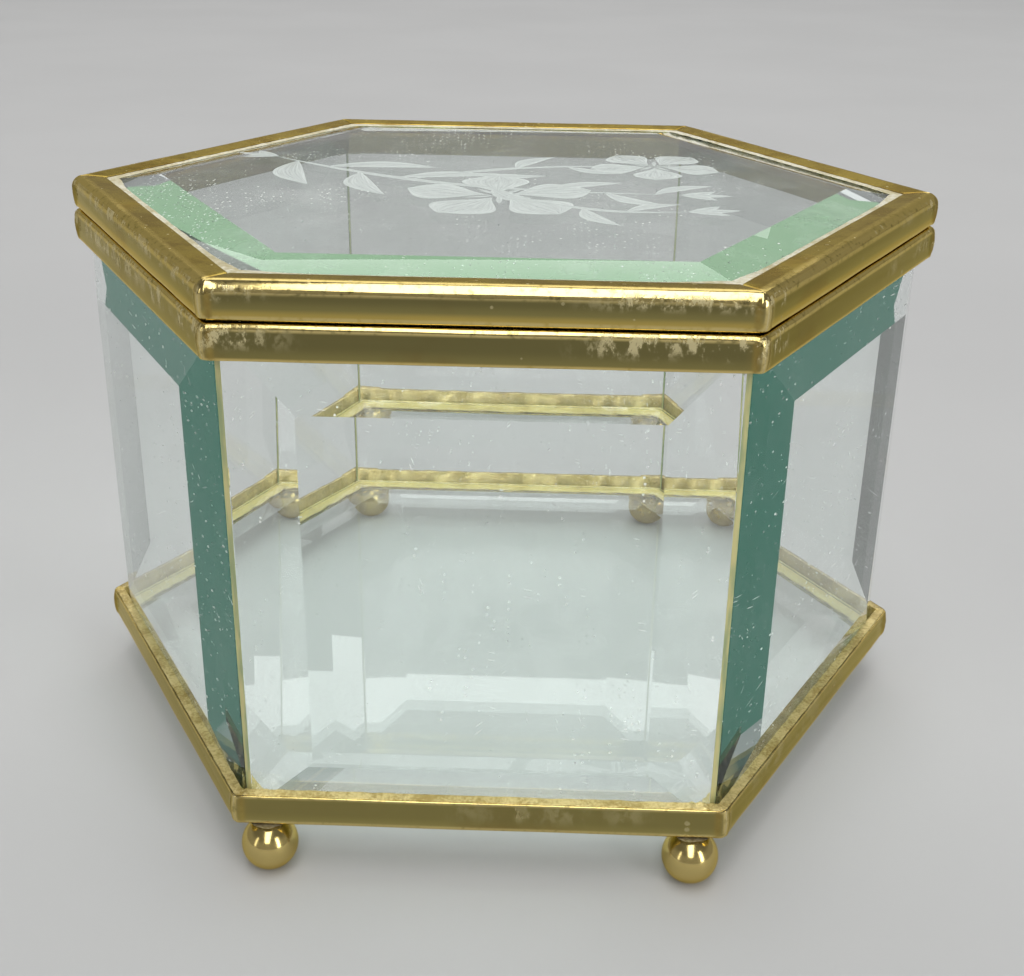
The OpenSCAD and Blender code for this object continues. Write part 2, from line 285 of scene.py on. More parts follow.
@dataclass(frozen=True)
class BrassFinish:
    """Old olive and gold brass: tarnish, bright rubbed edges, dried cement smears, painted shade and
    highlights.

    A strip's colour attribute is red at rubbed edges and, as a painted highlight, down the middle of each
    fold; green as the height up its face, bright under 0.2 as a painted reflection and darker above as
    painted shade; and blue on its duller flat lip. Smears gather where x, y and z lie past the levels of
    `handled`, which fade in from first to second number.
    """

    name: str
    clean: Triple = (0.33, 0.28, 0.10)
    # Painted shade for the upper part of a strip's face.
    painted_shade: Triple = (0.15, 0.13, 0.052)
    tarnish: Triple = (0.22, 0.13, 0.035)
    # Rubbed brass at worn edges, also painted down the middle of each fold as a highlight.
    rubbed_and_fold_highlight: Triple = (0.68, 0.54, 0.22)
    # Gilt tone of the lip, also painted near the foot of each face as a reflection.
    gilt_and_low_reflection: Triple = (0.56, 0.41, 0.10)
    # Dried cement, and the cream of the highlight painted down each fold.
    smear_and_fold_highlight: Triple = (0.62, 0.54, 0.30)
    edge_tint: Triple = (1.0, 0.88, 0.52)
    smear_share: float = 0.85
    roughness: float = 0.07
    strip: bool = True
    handled: tuple[tuple[float, float], ...] = ((5 * MM, 25 * MM), (-64 * MM, -60 * MM), (60 * MM, 70 * MM))

    def material(self) -> Material:
        """Builds the node tree.

        Returns:
            The material.
        """
        g = Graph(self.name)
        place = g.place()
        cloud, fine = g.noise(place, 45.0, 4.0), g.noise(place, 900.0)
        dull = cloud.above(0.52, 0.70)
        ripple = g.noise(place, 120.0, 2.0, 0.4) * 0.5 + fine * 0.03
        colour = g.blend(dull * 0.5, self.clean, self.tarnish)
        mask, rough = g.specks(place, 700.0, 0.05, 0.35) * 0.4, fine * 0.08 + dull * 0.12 + self.roughness
        if self.strip:
            # Red: rubbed edges, and a painted highlight down each fold. Green: height up the face, which
            # places a painted reflection low down and painted shade higher up. Blue: the dull lip.
            worn_and_fold_highlight, height, lip = g.split("Color", g.add("Attribute", attribute_name="wear_and_painted_light").outputs["Color"])
            blotch = g.noise(g.place((1.0, 1.0, 0.6)), 420.0, 6.0, 0.75)
            x, y, z = (part.above(*ends) for part, ends in zip(g.split("XYZ", place), self.handled))
            held = x * (1.0 - y) * z
            patch = (g.noise(place, 26.0) + held * 0.17).above(0.50, 0.62)
            dried = patch * height.above(0.30, 0.65) * blotch.above(0.48, 0.58) * self.smear_share
            # A band painted gold near the foot of each face: a painted reflection.
            painted_low_reflection = height.above(0.01, 0.03) * (1.0 - height.above(0.10, 0.24)) * (1.0 - lip)
            crumbs = lip * g.specks(place, 1100.0, 0.10, 0.25) * 0.8
            mottle = lip * g.noise(place, 110.0, 5.0, 0.7).above(0.40, 0.62) * 0.7
            # Painted shade: the upper part of each face is darker.
            colour = g.blend(height.above(0.15, 0.55) * 0.75, colour, self.painted_shade)
            colour = g.blend(painted_low_reflection * (cloud * 0.8 + 0.4), colour, self.gilt_and_low_reflection)
            colour = g.blend(lip * 0.6, colour, self.gilt_and_low_reflection)
            colour = g.blend(mottle, colour, self.tarnish)
            # Rubbed edges, and the middle of each fold lighter as a painted highlight.
            colour = g.blend(worn_and_fold_highlight.above(0.0, 0.65) * fine.above(0.2, 0.5) * 0.85, colour, self.rubbed_and_fold_highlight)
            # Cream and less metallic down the middle of each fold: a painted highlight.
            painted_fold_highlight = worn_and_fold_highlight.above(0.7, 1.0) * fine.above(0.3, 0.5) * 0.55
            mask = (mask + dried + crumbs + painted_fold_highlight).capped()
            drawn = g.noise(g.place((25.0, 3500.0, 1.0), uv=True), 1.0, 2.0, 0.5)
            ripple = ripple + drawn * 0.02 + mask * 0.3
            rough = rough + lip * 0.10
        sockets = {
            "Base Color": g.blend(mask, colour, self.smear_and_fold_highlight),
            "Metallic": 1.0 - mask * 0.5,
            "Roughness": rough + mask * 0.25,
            "Specular Tint": self.edge_tint,
            "Normal": g.bump(ripple, 0.10 * MM, 0.6),
        }
        return g.finish(g.out("BsdfPrincipled", sockets))


@dataclass(frozen=True)
class GlassFinish:
    """Clear plate glass, green in its depth, with dust specks.

    Light that is thrown to and fro between the faces travels the length of a plate and comes out deep
    green. After the second such turn it goes straight out, coloured as the rest of its way would.
    """

    name: str
    depth_colour: Triple = (0.12, 0.86, 0.64)
    density: float = 8.0
    index: float = 1.52
    dust: float = 1.0
    dust_share: float = 0.11
    film: float = 0.02
    scratches: float = 0.0
    scratch_leans: tuple[float, ...] = (20.0, -50.0, 80.0)
    lies_flat: bool = False
    trapped: Triple = (0.07, 0.27, 0.20)
    lit: Triple = (0.97, 0.98, 0.975)

    def material(self) -> Material:
        """Builds the node tree.

        Returns:
            The material.
        """
        g = Graph(self.name)
        place = g.place()
        clear = {"Base Color": WHITE, "Roughness": 0.0, "IOR": self.index, "Transmission Weight": 1.0}
        face = place if self.lies_flat else g.upright(0.0, 1.0)
        clump = g.noise(place, 30.0).above(0.42, 0.68)
        small = g.specks(face, 900.0, self.dust_share, 0.19, flat=True)
        large = g.specks(face, 330.0, 0.06, 0.07, flat=True)
        film = g.noise(place, 55.0, 4.0, 0.7).above(0.45, 0.75) * self.film
        mask = (small * clump * 0.75 + large * 0.8) * self.dust + film
        for lean in self.scratch_leans if self.scratches else ():
            mask = mask + g.specks(g.upright(lean, 9.0), 500.0, 0.12, 0.03, flat=True) * self.scratches
        dust = g.out("BsdfPrincipled", {"Base Color": (0.88, 0.89, 0.86), "Roughness": 0.9})
        surface = g.out("MixShader", {0: mask.capped(), 1: g.out("BsdfPrincipled", clear), 2: dust})
        rays = g.add("LightPath").outputs
        deep = Socket(g, rays["Glossy Depth"]).above(2.5, 2.6)
        for factor, colour in ((deep, self.trapped), (rays["Is Shadow Ray"], self.lit)):
            straight = g.out("BsdfTransparent", {"Color": colour})
            surface = g.out("MixShader", {0: factor, 1: surface, 2: straight})
        depth = g.out("VolumeAbsorption", {"Color": self.depth_colour, "Density": self.density})
        return g.finish(surface, depth)


@dataclass(frozen=True)
class CementFinish:
    """Hard glazing cement, cream with grey and yellow crumbs."""

    name: str
    pale: Triple = (0.80, 0.77, 0.62)
    dark: Triple = (0.50, 0.43, 0.22)
    roughness: float = 0.35
    grain: float = 1400.0
    metallic: float = 0.0

    def material(self) -> Material:
        """Builds the node tree.

        Returns:
            The material.
        """
        g = Graph(self.name)
        place = g.place()
        crumbs = g.noise(place, self.grain, 4.0, 0.7)
        cloud = g.noise(place, 160.0)
        sockets = {
            "Base Color": g.blend((crumbs * 0.6 + cloud * 0.5).above(0.42, 0.68), self.pale, self.dark),
            "Metallic": self.metallic,
            "Roughness": crumbs * 0.3 + self.roughness,
            "Subsurface Weight": 0.15,
            "Subsurface Radius": (0.001, 0.001, 0.0007),
            "Normal": g.bump(crumbs, 0.15 * MM),
        }
        return g.finish(g.out("BsdfPrincipled", sockets))


@dataclass(frozen=True)
class GrainFinish:
    """One noise that drives colour, roughness and bump, for clear yellowed cement and dull solder."""

    name: str
    colour: Triple
    dark: Triple
    scale: float
    levels: tuple[float, float]
    rough: tuple[float, float]
    others: dict[str, float]
    squash: float = 1.0

    def material(self) -> Material:
        """Builds the node tree.

        Returns:
            The material.
        """
        g = Graph(self.name)
        grain = g.noise(g.place((1.0, 1.0, self.squash)), self.scale)
        sockets = {
            "Base Color": g.blend(grain.above(*self.levels), self.colour, self.dark),
            "Roughness": grain * self.rough[0] + self.rough[1],
            "Normal": g.bump(grain, 0.1 * MM),
        }
        return g.finish(g.out("BsdfPrincipled", {**sockets, **self.others}))


@dataclass(frozen=True)
class EtchFinish:
    """Frosted cuts of an engraving: denser at their edges, streaked along each leaf."""

    name: str
    colour: Triple = (0.76, 0.81, 0.78)
    thinnest: float = 0.22
    densest: float = 0.80

    def material(self) -> Material:
        """Builds the node tree.

        Returns:
            The material.
        """
        g = Graph(self.name)
        across = abs(g.split("XYZ", g.add("TexCoord").outputs["UV"])[1] * 2.0 - 1.0)
        streaks = g.noise(g.place((2.5, 16.0, 1.0), uv=True), 1.0)
        grain = g.noise(g.place(), 2600.0, 2.0)
        density = (across**3.0) * 0.45 + streaks.above(0.35, 0.7) * 0.4 + grain * 0.25
        alpha = (density * (self.densest - self.thinnest) + self.thinnest).capped()
        sockets = {"Base Color": self.colour, "Roughness": 0.75, "Alpha": alpha}
        return g.finish(g.out("BsdfPrincipled", {**sockets, "Normal": g.bump(grain, 0.05 * MM)}))


@dataclass(frozen=True)
class FloorFinish:
    """A plain pale table top."""

    name: str
    colour: Triple = (0.50, 0.50, 0.495)
    lighter: Triple = (0.52, 0.52, 0.5148)

    def material(self) -> Material:
        """Builds the node tree.

        Returns:
            The material.
        """
        g = Graph(self.name)
        cloud = g.noise(g.place(), 6.0, 3.0, 0.5)
        colour = g.blend(cloud.above(0.3, 0.7), self.colour, self.lighter)
        return g.finish(g.out("BsdfPrincipled", {"Base Color": colour, "Roughness": 0.65}))


# ------------------------------------------------------------- numpy surfaces


@dataclass(frozen=True)
class Drift:
    """A smooth random wave along a path, the same on each run.

    The value is a sum of sine waves, each with its own count of turns round the path and its own phase.
    """

    seed: int
    size: float
    slowest: int = 3
    fastest: int = 40
    waves: int = 14

    def at(self, around: Points) -> Points:
        """Works out the wave.

        Args:
            around: Shares of the way round, 0 to 1.

        Returns:
            Its value at each.
        """
        rng = np.random.default_rng(self.seed)
        turns = rng.integers(self.slowest, self.fastest + 1, self.waves)
        phase = rng.uniform(0, 2 * np.pi, self.waves)
        weight = rng.uniform(0.4, 1.0, self.waves) / np.sqrt(self.waves)
        return self.size * (np.sin(2 * np.pi * around[..., None] * turns + phase) * weight).sum(-1)


def bell(away: Points, width: float) -> Points:
    """A bell curve: 1 at the middle, e to the power of -1 at the width."""
    return np.exp(-((away / width) ** 2))


def steps_between(points: Points) -> Points:
    """Length along a closed path up to each point and back to the first."""
    return np.r_[0, np.cumsum(np.linalg.norm(np.roll(points, -1, 0) - points, axis=1))]


def placed(name: str, data: Any) -> Piece:
    """Puts a mesh, a lamp or a camera into the scene.

    Args:
        name: The object's name.
        data: What it shows.

    Returns:
        The object.
    """
    piece = bpy.data.objects.new(name, data)
    bpy.context.scene.collection.objects.link(piece)
    return piece


def quads(rows: int, columns: int, open_rows: bool, open_columns: bool) -> tuple[Points, Points]:
    """Row and column numbers of the four corners of each quad of a grid, open or closed either way."""
    i, j = np.meshgrid(np.arange(rows - open_rows), np.arange(columns - open_columns), indexing="ij")
    return np.stack([i, i + 1, i + 1, i], -1), np.stack([j, j, j + 1, j + 1], -1)


def grid_mesh(
    name: str, grid: Points, wrap_v: bool = True, sharp_deg: float = 32.0, wear_and_painted_light: Optional[Points] = None
) -> Piece:
    """Puts a grid of points into a mesh of quads, with a UV map of the lengths along both ways.

    Args:
        name: The object's name.
        grid: Points in metres, shaped (u, v, 3). The last u joins the first.
        wrap_v: True if the last v joins the first.
        sharp_deg: Edges that turn by more stay sharp.
        wear_and_painted_light: Three numbers for each point, kept in the colour attribute of that name.

    Returns:
        The object.
    """
    count_u, count_v = grid.shape[:2]
    ring_i, ring_j = quads(count_u, count_v, False, not wrap_v)
    faces = (ring_i % count_u) * count_v + ring_j % count_v
    mesh = bpy.data.meshes.new(name)
    mesh.from_pydata(grid.reshape(-1, 3), [], faces.reshape(-1, 4))
    if wear_and_painted_light is not None:
        colour = np.concatenate([wear_and_painted_light.reshape(-1, 3), np.ones((count_u * count_v, 1))], 1)
        stored = mesh.attributes.new("wear_and_painted_light", "FLOAT_COLOR", "POINT")
        stored.data.foreach_set("color", colour.astype(np.float32).ravel())
    length_u, length_v = steps_between(grid[:, count_v // 2]), steps_between(grid[count_u // 2])
    return finished(mesh, np.stack([length_u[ring_i], length_v[ring_j]], -1), sharp_deg)


def finished(mesh: bpy.types.Mesh, uv: Points, sharp_deg: float, layer: str = "lengths") -> Piece:
    """Merges doubles, turns the faces outwards and shades smooth between sharp edges.

    Args:
        mesh: The mesh.
        uv: Two numbers for each corner of each face.
        sharp_deg: Edges that turn by more stay sharp.
        layer: Name of the UV map.

    Returns:
        The object.
    """
    mesh.uv_layers.new(name=layer).data.foreach_set("uv", uv.astype(np.float32).ravel())
    work = bmesh.new()
    work.from_mesh(mesh)
    bmesh.ops.remove_doubles(work, verts=work.verts, dist=WELD)
    bmesh.ops.recalc_face_normals(work, faces=work.faces)
    work.to_mesh(mesh)
    work.free()
    mesh.shade_smooth()
    mesh.set_sharp_from_angle(angle=math.radians(sharp_deg))
    return placed(mesh.name, mesh)


def filleted(corners: Sequence[Triple], steps: int = 6) -> Points:
    """A closed outline whose corners are arcs.

    Each corner is (x, y, radius). Its arc touches both sides: it starts radius / tan(half the corner's
    angle) before the corner, and its centre is radius / sin(half the angle) away along the bisector.

    Args:
        corners: The corners in order.
        steps: Segments of each arc.

    Returns:
        Points, shaped (n, 2).
    """
    points = np.array([c[:2] for c in corners], float)
    runs = []
    for k, (_, _, radius) in enumerate(corners):
        here = points[k]
        back, ahead = points[k - 1] - here, points[(k + 1) % len(points)] - here
        back, ahead = back / np.linalg.norm(back), ahead / np.linalg.norm(ahead)
        half = math.acos(float(np.clip(back @ ahead, -1, 1))) / 2
        centre = here + (back + ahead) / np.linalg.norm(back + ahead) * radius / math.sin(half)
        start, end = (here + way * radius / math.tan(half) for way in (back, ahead))
        first = math.atan2(*(start - centre)[::-1])
        turn = (math.atan2(*(end - centre)[::-1]) - first + math.pi) % (2 * math.pi) - math.pi
        angles = first + turn * np.linspace(0, 1, steps + 1)
        runs.append(centre + radius * np.stack([np.cos(angles), np.sin(angles)], -1))
    return np.concatenate(runs)


def spread(outline: Points, longest: float) -> Points:
    """Adds points on the long sides of a closed outline.

    Args:
        outline: Its points.
        longest: The longest side that stays whole.

    Returns:
        The points, with the new ones evenly between them.
    """
    runs = []
    for here, ahead in zip(outline, np.roll(outline, -1, 0)):
        count = max(1, math.ceil(float(np.linalg.norm(ahead - here)) / longest))
        runs.append(here + (ahead - here) * (np.arange(count) / count)[:, None])
    return np.concatenate(runs)


@dataclass(frozen=True)
class HexWalk:
    """Stations round a six-sided path whose corners are folded to a radius.

    A station has the direction of its side's normal, its place along the side from -1 to 1, and the
    direction it faces, which turns from one side's normal to the next over a fold.
    """

    along: int = 41
    turns: int = 6

    def stations(self) -> tuple[Points, Points, Points]:
        """Lays out the stations.

        Returns:
            Side normals, places along the side and facing directions.
        """
        place = np.sin(np.linspace(-np.pi / 2, np.pi / 2, self.along))
        over = np.linspace(0, STEP, self.turns + 1)[1:-1]
        start = -np.pi / 2 + STEP * np.arange(SIDES)[:, None]
        normal = np.repeat(start, self.along + len(over), 1)
        along = np.tile(np.r_[place, np.ones(len(over))], (SIDES, 1))
        facing = start + np.r_[np.zeros(self.along), over]
        return normal.ravel(), along.ravel(), facing.ravel()

    def around(self) -> Points:
        """Share of the way round at each station, 0 to 1."""
        count = SIDES * (self.along + self.turns - 1)
        return (np.arange(count) / count)[:, None]

    def near_corner(self, apothem: float) -> Points:
        """Distance of each station from the nearest mitre, along its side, in metres."""
        return ((1 - np.abs(self.stations()[1])) * apothem * math.tan(HALF))[:, None]

    def carry(self, apothem: float, fold: float, inward: Points, height: Points) -> Points:
        """Carries a profile round the path.

        A point d inward of the outer face follows six straight sides at apothem - max(d, fold), and
        an arc of radius fold - d pushes it out at each corner.

        Args:
            apothem: Distance from the middle to the outer face.
            fold: Radius of the outer face's corners.
            inward: d of each profile point, alone or for each station.
            height: z, likewise.

        Returns:
            Points, shaped (stations, profile, 3).
        """
        normal, along, facing = (a[:, None] for a in self.stations())
        core = apothem - np.maximum(inward, fold)
        arc = np.maximum(fold - inward, LEAST_ARC)
        slide = along * core * math.tan(HALF)
        x = core * np.cos(normal) - slide * np.sin(normal) + arc * np.cos(facing)
        y = core * np.sin(normal) + slide * np.cos(normal) + arc * np.sin(facing)
        return np.stack(np.broadcast_arrays(x, y, height), -1)


@dataclass(frozen=True)
class Reach:
    """How far a CAD node reaches: its apothem, its lowest and its highest level."""

    apothem: float
    low: float
    high: float

    @classmethod
    def of(cls, node: str) -> Reach:
        """Reads a node's box."""
        low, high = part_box(node)
        return cls(high.y, low.z, high.z)

    @property
    def tall(self) -> float:
        """Its height."""
        return self.high - self.low


def mount(piece: Piece, body: Body, material: Material, slot: Slot, *nodes: str) -> None:
    """Gives a new piece its finish, its body and the CAD nodes it stands for.

    Args:
        piece: The object, in place.
        body: The body that it rides on.
        material: Its finish.
        slot: The record's finish that it follows; not used.
        *nodes: The CAD nodes that it stands for.
    """
    piece.data.materials.clear()
    piece.data.materials.append(material)
    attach(piece, body.value)
    if nodes:
        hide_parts(*nodes)
    LOG.info("%s: %d faces", piece.name, len(piece.data.polygons))


@dataclass
class Ring:
    """A profile carried round the six sides, which stands for a CAD node.

    Each corner of the profile is (inward, up, radius), from the foot of the outer face.
    """

    name: str
    corners: Sequence[Triple]
    seat: Reach
    seed: int
    fold: float = 1.6 * MM
    slot: ClassVar[Slot]
    sharp_deg: ClassVar[float]

    def surface(self) -> tuple[Points, Optional[Points]]:
        """The ring's points, and its wear and painted light if it has them."""
        raise NotImplementedError

    def build(self, body: Body, material: Material, node: str) -> None:
        """Makes the ring.

        Args:
            body: The body that it rides on.
            material: Its finish.
            node: The CAD node that it stands for.
        """
        grid, wear_and_painted_light = self.surface()
        mount(grid_mesh(self.name, grid, True, self.sharp_deg, wear_and_painted_light), body, material, self.slot, node)


@dataclass
class StripRing(Ring):
    """One brass strip folded round the six sides, with mitre lines across its flat lips."""

    # Share of the face's height that the painted reflection near the foot covers.
    painted_low_reflection: float = 0.07
    waver: float = 0.03 * MM
    mitre_deep: float = 0.22 * MM
    mitre_wide: float = 0.16 * MM
    bulge: float = 0.42 * MM
    rubbed_wide: float = 0.22 * MM
    # Width of the highlight painted down each fold.
    fold_highlight_wide: float = 0.40 * MM
    flank_off: float = 1.2 * MM
    flank_wide: float = 0.5 * MM
    walk: HexWalk = HexWalk()
    slot = Slot.STRIP
    sharp_deg = 32.0

    def wear_and_painted_light(self, profile: Points) -> Points:
        """Where the strip is rubbed, where a highlight is painted, how high each point stands and where it
        is dull.

        Rubbed is a bell curve of the distance from the two outer arcs. A bell curve of the distance from
        the middle of a fold paints a highlight there, with a dull flank on each side. The height is bent so
        that the band of painted reflection near the foot ends at 0.2.

        Args:
            profile: The profile's points.

        Returns:
            The three shares, shaped (stations, profile, 3).
        """
        inward, height = profile.T
        top = height.max()
        beyond = [np.hypot(inward - x, height - y) - radius for x, y, radius in self.corners[:2]]
        rubbed_and_fold_highlight = bell(np.maximum(np.min(beyond, 0), 0), self.rubbed_wide)
        outer = inward < 0.4 * MM
        normal, _, facing = self.walk.stations()
        over = (facing - normal)[:, None]
        off = np.where(over > 0, np.abs(over - HALF), HALF) * self.fold
        off = off + self.walk.near_corner(self.seat.apothem)
        # A painted highlight down the middle of each fold, with a dull flank on each side.
        fold_highlight = bell(off, self.fold_highlight_wide) * outer
        flank = bell(off - self.flank_off, self.flank_wide) * outer
        # Height up the outer face, which places the painted reflection low down and painted shade above.
        climb = np.interp(height / top, (0.0, self.painted_low_reflection, 1.0), (0.0, 0.2, 1.0)) * outer
        dull = (inward > 1.2 * MM) & (height > top - 0.8 * MM)
        rubbed_and_fold_highlight, dull = np.maximum(rubbed_and_fold_highlight * (0.65 - 0.4 * flank), fold_highlight), np.maximum(dull, 0.8 * flank)
        return np.stack(np.broadcast_arrays(rubbed_and_fold_highlight, climb, dull), -1)

    def surface(self) -> tuple[Points, Optional[Points]]:
        """The strip's points, and its wear and painted light.

        The profile wavers a little as a strip bent by hand does. Behind the fold it dips at each mitre
        by a bell curve of the distance along the side, and at the fold its face bulges by a parabola of
        the height.

        Returns:
            Both, shaped (stations, profile, 3).
        """
        profile = spread(filleted(self.corners), LONGEST_STEP)
        inward, height = profile.T[:, None]
        around, span = self.walk.around(), height.max() - height.min()
        lift = Drift(self.seed, self.waver).at(around)
        push = Drift(self.seed + 1, self.waver).at(around + 0.13 * height / span)
        away = self.walk.near_corner(self.seat.apothem)
        middle = height.min() + span / 2
        lips = (inward > self.fold) & (np.abs(height - middle) > 0.3 * span)
        dip = self.mitre_deep * bell(away, self.mitre_wide) * lips
        crown = 1 - (2 * (height - middle) / span) ** 2
        swell = self.bulge * crown * bell(away, 0.5 * MM) * (inward < 1.0 * MM)
        level = self.seat.low + height + lift - dip * np.where(height > middle, 1.0, -1.0)
        grid = self.walk.carry(self.seat.apothem, self.fold, inward + push - swell, level)
        return grid, self.wear_and_painted_light(profile)


@dataclass
class CementLine(Ring):
    """A squeezed line of cement round the six sides, lumpy along its length."""

    lumps: float = 0.12 * MM
    reach: float = 0.0
    climb: float = 0.0
    corner_wide: float = 7 * MM
    walk: HexWalk = HexWalk(along=91, turns=4)
    slot = Slot.CEMENT
    sharp_deg = 60.0

    def surface(self) -> tuple[Points, Optional[Points]]:
        """The line's points.

        The profile's points move away from their mean by a wave of the way round, shifted for each
        point. The inner end reaches further in at the corners, by a bell curve of the distance along
        the side, and climbs with the plate's bevel.

        Returns:
            Points, shaped (stations, profile, 3), and no colour attribute.
        """
        profile = filleted(self.corners, 3)
        around = self.walk.around() + 0.01 * np.linspace(0, 0.9, len(profile))[None]
        swell = Drift(self.seed, self.lumps, 30, 160, 30).at(around)
        rise = Drift(self.seed + 1, self.lumps, 20, 200, 30).at(around)
        out = profile - profile.mean(0)
        out = out / np.maximum(np.linalg.norm(out, axis=1, keepdims=True), 1e-9)
        away = self.walk.near_corner(self.seat.apothem)
        end = (profile[:, 0] - profile[:, 0].min()) / np.ptp(profile[:, 0])
        extra = self.reach * (0.25 + bell(away, self.corner_wide)) * end
        inward = profile[:, 0] + swell * out[:, 0] + extra
        height = profile[:, 1] + rise * out[:, 1] + self.climb * extra
        return self.walk.carry(self.seat.apothem, self.fold, inward, self.seat.low + height), None


def bed(low: float, high: float, upper_end: float, lower_end: float) -> list[Triple]:
    """Corners of a bedding's profile, which starts behind the strip's fold."""
    start, r = 1.7 * MM, 0.1 * MM
    return [(start, low, r), (start, high, r), (upper_end, high, r), (lower_end, low, r)]


def softened(frame: dict[str, Any], node: str, limit_deg: float, width: float = 0.12 * MM) -> Piece:
    """Copies a CAD node, joins its loose triangles into whole faces and takes off its sharp edges.

    Args:
        frame: The loaded frame.
        node: The node.
        limit_deg: Edges that turn by less stay as they are.
        width: Width of a softened edge.

    Returns:
        The copy.
    """
    mesh = frame["nodes"][node].data.copy()
    mesh.name = f"{node}_soft"
    work = bmesh.new()
    work.from_mesh(mesh)
    bmesh.ops.remove_doubles(work, verts=work.verts, dist=CAD_WELD)
    bmesh.ops.dissolve_limit(work, angle_limit=math.radians(FLAT_DEG), verts=work.verts, edges=work.edges)
    work.to_mesh(mesh)
    work.free()
    piece = placed(mesh.name, mesh)
    bevel = piece.modifiers.new("soft_edges", "BEVEL")
    bevel.width, bevel.segments = width, 2
    bevel.limit_method, bevel.angle_limit = "ANGLE", math.radians(limit_deg)
    return piece


# --------------------------------------------------------------- the casket


def made(finish: Any) -> Any:
    """A field that builds a finish's material."""
    return field(default_factory=finish.material)


@dataclass
class Finishes:
    """Every finish of the casket, built once."""

    strip: Material = made(BrassFinish("strip_brass", clean=(0.27, 0.23, 0.082)))
    # The base's painted shade is lighter than the strip's.
    base: Material = made(
        BrassFinish("base_brass", clean=(0.38, 0.32, 0.11), painted_shade=(0.24, 0.20, 0.07), smear_share=0.3)
    )
    ball: Material = made(BrassFinish("ball_brass", clean=(0.60, 0.47, 0.18), roughness=0.13, strip=False))
    hinge: Material = made(BrassFinish("hinge_brass", roughness=0.2, strip=False))
    wall: Material = made(GlassFinish("wall_glass", scratches=0.8))
    floor: Material = made(GlassFinish("floor_glass", lies_flat=True))
    lid: Material = made(
        GlassFinish(
            "lid_glass", dust=1.4, dust_share=0.30, film=0.08, lies_flat=True, trapped=(0.215, 0.315, 0.20)
        )
    )
    bead: Material = made(CementFinish("bead_cement"))
    rim: Material = made(
        CementFinish("rim_cement", (0.88, 0.72, 0.32), (0.44, 0.32, 0.09), 0.05, grain=2000.0, metallic=0.6)
    )
    bedding: Material = made(CementFinish("bedding_cement", (0.66, 0.54, 0.20), (0.48, 0.36, 0.11)))
    seam: Material = made(
        GrainFinish(
            "seam_cement", (0.62, 0.57, 0.26), (0.34, 0.40, 0.20), 500.0, (0.4, 0.65), (0.2, 0.12),
            {"Transmission Weight": 0.10, "IOR": 1.5}, squash=0.15,
        )
    )
    solder: Material = made(
        GrainFinish(
            "soft_solder", (0.42, 0.41, 0.38), (0.24, 0.20, 0.13), 1800.0, (0.35, 0.7), (0.3, 0.3),
            {"Metallic": 0.9},
        )
    )
    etch: Material = made(EtchFinish("frosted_cut"))


@dataclass
class Lid:
    """The lid: glass plate in a brass channel, cement along the lip, engraving on the plate."""

    frame: dict[str, Any]
    finishes: Finishes
    strip_t: float = 0.5 * MM
    lip_w: float = 5.5 * MM
    flange_w: float = 4.0 * MM
    top_r: float = 1.8 * MM
    low_r: float = 0.55 * MM
    edge_r: float = 0.14 * MM
    plate_edge_t: float = 2.5 * MM
    bevel_w: float = 13.8 * MM
    bead_w: float = 1.1 * MM
    bead_reach: float = 0.9 * MM
    lip_fall: float = 0.45 * MM

    def __post_init__(self) -> None:
        """Reads the places of the strip and the plate."""
        self.ring, self.plate = Reach.of("lid_frame"), Reach.of("lid_glass")

    def bevel_level(self, inward: float) -> float:
        """Height of the plate's bevel above the strip's underside.

        Args:
            inward: Distance inward of the strip's outer face.

        Returns:
            The height.
        """
        slope = (self.plate.tall - self.plate_edge_t) / self.bevel_w
        edge = self.plate.low + self.plate_edge_t - self.ring.low
        return edge + slope * (inward - self.ring.apothem + self.plate.apothem)

    def strip(self) -> None:
        """The channel, open inwards round the plate."""
        h, t = self.ring.tall, self.strip_t
        corners = [
            (0, 0, self.low_r),
            (0, h + self.lip_fall, self.top_r),
            (self.lip_w, h, self.edge_r),
            (self.lip_w, h - t, self.edge_r),
            (t, h + self.lip_fall - t, self.top_r - t),
            (t, t, 0.1 * MM),
            (self.flange_w, t, self.edge_r),
            (self.flange_w, 0, self.edge_r),
        ]
        # On the lid the painted reflection reaches further up the face.
        strip = StripRing("lid_brass", corners, self.ring, 3, painted_low_reflection=0.30)
        strip.build(Body.LID, self.finishes.strip, "lid_frame")

    def cement(self) -> None:
        """The whitish line along the lip, and the bedding under the plate."""
        start, end = self.lip_w + 0.03 * MM, self.lip_w + self.bead_w
        inner, outer = self.bevel_level(end), self.bevel_level(self.lip_w)
        corners = [
            (start, self.ring.tall - 0.12 * MM, 0.1 * MM),
            (end, inner + 0.05 * MM, 0.02 * MM),
            (start, outer + 0.03 * MM, 0.05 * MM),
        ]
        climb = (inner - outer) / (end - self.lip_w)
        line = CementLine("lid_cement_line", corners, self.ring, 20, lumps=0.06 * MM)
        line.reach, line.climb = self.bead_reach, climb
        line.build(Body.LID, self.finishes.bead, "lid_bead")
        under = self.plate.low - self.ring.low - 0.04 * MM
        corners = bed(self.strip_t + 0.02 * MM, under, self.flange_w - 0.1 * MM, self.flange_w - 0.3 * MM)
        line = CementLine("lid_bedding_line", corners, self.ring, 31, lumps=0.05 * MM)
        line.build(Body.LID, self.finishes.bedding, "lid_bedding")

    def build(self) -> None:
        """Makes and dresses the whole lid."""
        self.strip()
        self.cement()
        piece = softened(self.frame, "lid_glass", 20)
        mount(piece, Body.LID, self.finishes.lid, Slot.GLASS, "lid_glass")
        Engraving(self.finishes, self.plate.high).build()


